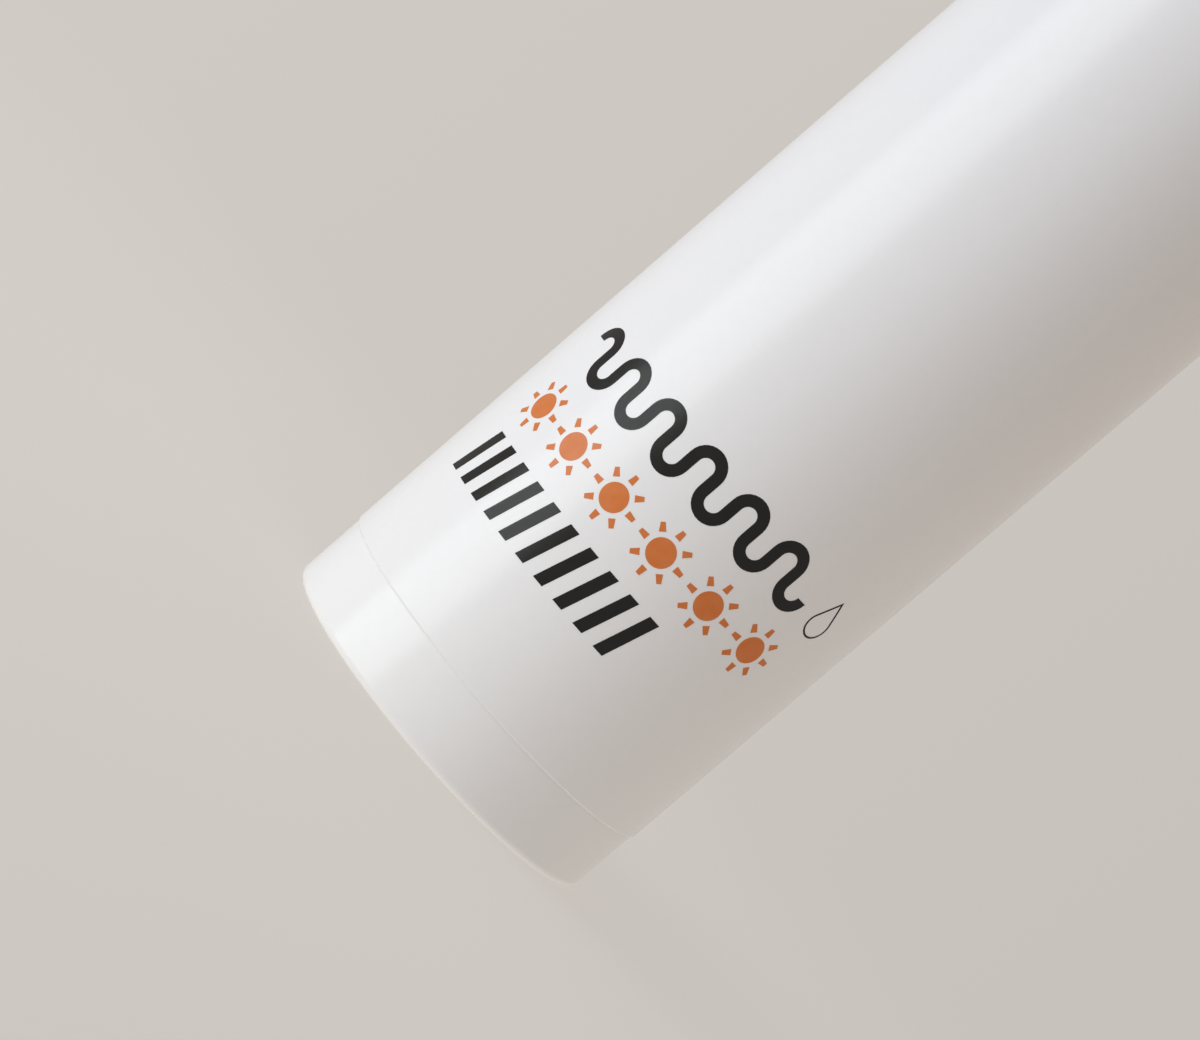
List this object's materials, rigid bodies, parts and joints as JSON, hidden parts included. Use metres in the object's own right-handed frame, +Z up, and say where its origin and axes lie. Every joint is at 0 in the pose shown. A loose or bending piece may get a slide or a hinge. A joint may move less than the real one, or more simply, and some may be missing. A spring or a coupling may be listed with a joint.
{
  "type": "airless pump bottle",
  "caption": "White cylindrical airless pump bottle for sunscreen cream, with snap-in base, rising follower piston, push-down pump head and flush pull-off overcap.",
  "frame": {"origin": "centre of the foot ring, on the surface that the bottle stands on", "axes": "+Z up the bottle from the base to the overcap; the nozzle faces -Y, under the overcap"},
  "size_m": [0.045, 0.045, 0.1508],
  "materials": {
    "base_cup": "injection-moulded white polypropylene, semi-gloss",
    "bottle_body": "injection-moulded white polypropylene, satin, with a screen-printed panel",
    "follower_piston": "natural low-density polyethylene, waxy",
    "neck_gasket": "soft foamed polyethylene ring",
    "pump_housing": "natural polypropylene, moulded",
    "inlet_ball": "ground stainless ball",
    "ball_retainer": "natural polypropylene, moulded",
    "pump_piston": "natural low-density polyethylene, waxy",
    "stem": "natural acetal, moulded",
    "stem_tip": "natural acetal, moulded",
    "closing_cap": "natural polypropylene, moulded",
    "return_spring": "drawn stainless spring wire",
    "collar": "injection-moulded white polypropylene, satin",
    "actuator": "injection-moulded white polypropylene, satin",
    "nozzle_insert": "injection-moulded white acetal, polished",
    "overcap": "injection-moulded white polypropylene, satin"
  },
  "bodies": {
    "bottle": {"base_cup": "base_cup", "bottle_body": "bottle_body", "neck_gasket": "neck_gasket", "pump_housing": "pump_housing", "ball_retainer": "ball_retainer", "closing_cap": "closing_cap", "collar": "collar"},
    "overcap": {"overcap": "overcap"},
    "spring": {"return_spring": "return_spring"},
    "head": {"stem": "stem", "stem_tip": "stem_tip", "actuator": "actuator", "nozzle_insert": "nozzle_insert"},
    "seal": {"pump_piston": "pump_piston"},
    "follower": {"follower_piston": "follower_piston"},
    "ball": {"inlet_ball": "inlet_ball"}
  },
  "joints": [
    {"name": "overcap_pull", "type": "slide", "parent": "bottle", "child": "overcap", "axis": [0, 0, 1], "range_m": [0, 0.045]},
    {"name": "head_press", "type": "slide", "parent": "bottle", "child": "spring", "axis": [0, 0, -1], "range_m": [0, 0.0045], "stiffness_N_per_m": 2000, "springref_m": -0.0005, "deforming": ["return_spring"]},
    {"name": "head_turn", "type": "hinge", "parent": "spring", "child": "head", "pos_m": [0, 0, 0.1365], "axis": [0, 0, 1], "continuous": true},
    {"name": "seal_slide", "type": "slide", "parent": "bottle", "child": "seal", "axis": [0, 0, -1], "range_m": [0, 0.00351]},
    {"name": "follower_rise", "type": "slide", "parent": "bottle", "child": "follower", "axis": [0, 0, 1], "range_m": [0, 0.0795]},
    {"name": "ball_lift", "type": "slide", "parent": "bottle", "child": "ball", "axis": [0, 0, 1], "range_m": [0, 0.001]}
  ],
  "couplings": [
    {"joint": "seal_slide", "follows": "head_press", "ratio": 0.7789}
  ]
}
